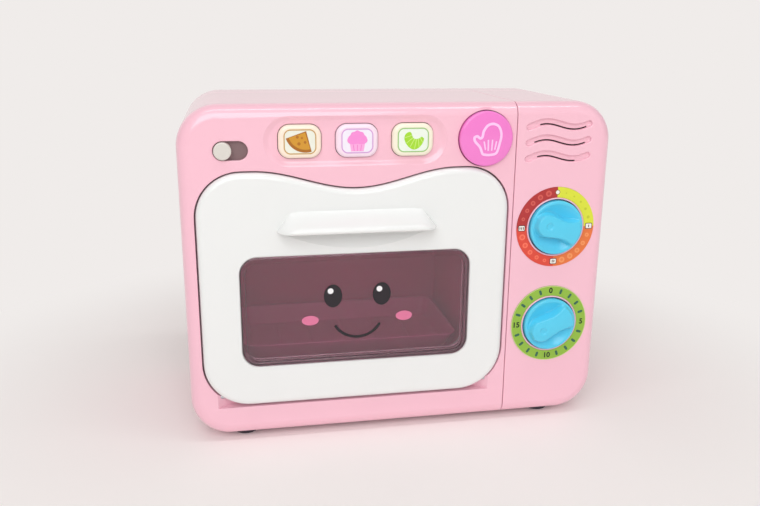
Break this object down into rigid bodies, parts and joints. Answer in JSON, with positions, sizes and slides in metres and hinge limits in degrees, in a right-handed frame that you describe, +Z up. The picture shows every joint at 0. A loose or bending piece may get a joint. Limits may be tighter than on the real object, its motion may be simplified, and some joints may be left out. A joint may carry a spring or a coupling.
{
  "type": "toy oven",
  "caption": "Pink toy oven with a bumped white drop-down door, tinted window, slide-out tray, food and mitt push buttons, slide switch, two round dials and wavy vents.",
  "frame": {"origin": "middle of the object's footprint, at the plane its feet stand on", "axes": "+Z up, +X to the right seen from the front, +Y from the door to the back"},
  "size_m": [0.28, 0.15, 0.222],
  "materials": {
    "housing_pink": "glossy pastel pink moulding",
    "door_white": "satin-gloss white moulding",
    "window_mauve": "clear tinted mauve sheet",
    "cavity_magenta": "glossy magenta moulding",
    "tray_pink": "glossy pink moulding",
    "knob_blue": "satin sky blue moulding",
    "mitt_pink": "glossy hot pink cap",
    "cream_cap": "cream cap with a printed pictogram",
    "lilac_cap": "pale lilac cap with a printed pictogram",
    "lime_cap": "white cap with a printed pictogram",
    "switch_white": "off-white slider",
    "temperature_print": "printed ring, yellow to dark red",
    "timer_print": "printed green ring",
    "foot_rubber": "matte dark grey rubber",
    "pad_rubber": "translucent grey silicone",
    "grey_plastic": "plain grey moulding",
    "black_plastic": "plain black moulding",
    "board_green": "solder-masked board",
    "steel": "plated steel",
    "cell_label": "sleeved dry cell; light metal stands for its real density",
    "lamp_white": "frosted white lamp",
    "lamp_clear": "frosted clear cup",
    "red_wire": "insulated wire",
    "black_wire": "insulated wire",
    "white_wire": "insulated wire"
  },
  "bodies": {
    "housing": {"main_housing": "housing_pink", "control_housing": "housing_pink", "rear_cover": "housing_pink", "feet": "foot_rubber", "housing_screws": "steel", "cavity_liner": "cavity_magenta", "door_catch": "grey_plastic", "button_pad": "pad_rubber", "button_board": "board_green", "button_board_screws": "steel", "switch_body": "grey_plastic", "temperature_encoder": "grey_plastic", "timer_encoder": "grey_plastic", "temperature_ring": "temperature_print", "timer_ring": "timer_print", "main_board": "board_green", "main_board_screws": "steel", "sound_chip": "black_plastic", "speaker_frame": "grey_plastic", "speaker_cone": "black_plastic", "speaker_magnet": "steel", "cavity_lamp": "lamp_white", "lamp_lens": "lamp_clear", "battery_box": "black_plastic", "batteries": "cell_label", "battery_contacts": "steel", "battery_cover": "housing_pink", "battery_cover_screw": "steel", "battery_wires": "red_wire", "speaker_wires": "black_wire", "lamp_wires": "white_wire"},
    "door": {"door_shell": "door_white", "door_inner_panel": "door_white", "door_window": "window_mauve", "door_screws": "steel", "hinge_pins": "steel"},
    "tray": {"tray": "tray_pink"},
    "pizza_button": {"pizza_button": "cream_cap"},
    "cupcake_button": {"cupcake_button": "lilac_cap"},
    "croissant_button": {"croissant_button": "lime_cap"},
    "mitt_button": {"mitt_button": "mitt_pink"},
    "power_switch": {"switch_slider": "switch_white"},
    "temperature_knob": {"temperature_knob": "knob_blue", "temperature_shaft": "steel"},
    "timer_knob": {"timer_knob": "knob_blue", "timer_shaft": "steel"}
  },
  "joints": [
    {"name": "door_hinge", "type": "hinge", "parent": "housing", "child": "door", "pos_m": [-0.0305, -0.0538, 0.0322], "axis": [1, 0, 0], "range_deg": [0, 90]},
    {"name": "tray_slide", "type": "slide", "parent": "housing", "child": "tray", "axis": [0, -1, 0], "range_m": [0, 0.048]},
    {"name": "power_slide", "type": "slide", "parent": "housing", "child": "power_switch", "axis": [1, 0, 0], "range_m": [0, 0.0094]},
    {"name": "croissant_press", "type": "slide", "parent": "housing", "child": "croissant_button", "axis": [0, 1, 0], "range_m": [0, 0.002], "stiffness_N_per_m": 300, "springref_m": -0.001},
    {"name": "cupcake_press", "type": "slide", "parent": "housing", "child": "cupcake_button", "axis": [0, 1, 0], "range_m": [0, 0.002], "stiffness_N_per_m": 300, "springref_m": -0.001},
    {"name": "pizza_press", "type": "slide", "parent": "housing", "child": "pizza_button", "axis": [0, 1, 0], "range_m": [0, 0.002], "stiffness_N_per_m": 300, "springref_m": -0.001},
    {"name": "mitt_press", "type": "slide", "parent": "housing", "child": "mitt_button", "axis": [0, 1, 0], "range_m": [0, 0.003], "stiffness_N_per_m": 400, "springref_m": -0.001},
    {"name": "temperature_turn", "type": "hinge", "parent": "housing", "child": "temperature_knob", "pos_m": [0.1036, -0.057, 0.1395], "axis": [0, -1, 0], "continuous": true},
    {"name": "timer_turn", "type": "hinge", "parent": "housing", "child": "timer_knob", "pos_m": [0.1036, -0.057, 0.071], "axis": [0, -1, 0], "continuous": true}
  ],
  "couplings": [
    {"joint": "tray_slide", "follows": "door_hinge", "m_per_rad": 0.03055}
  ]
}
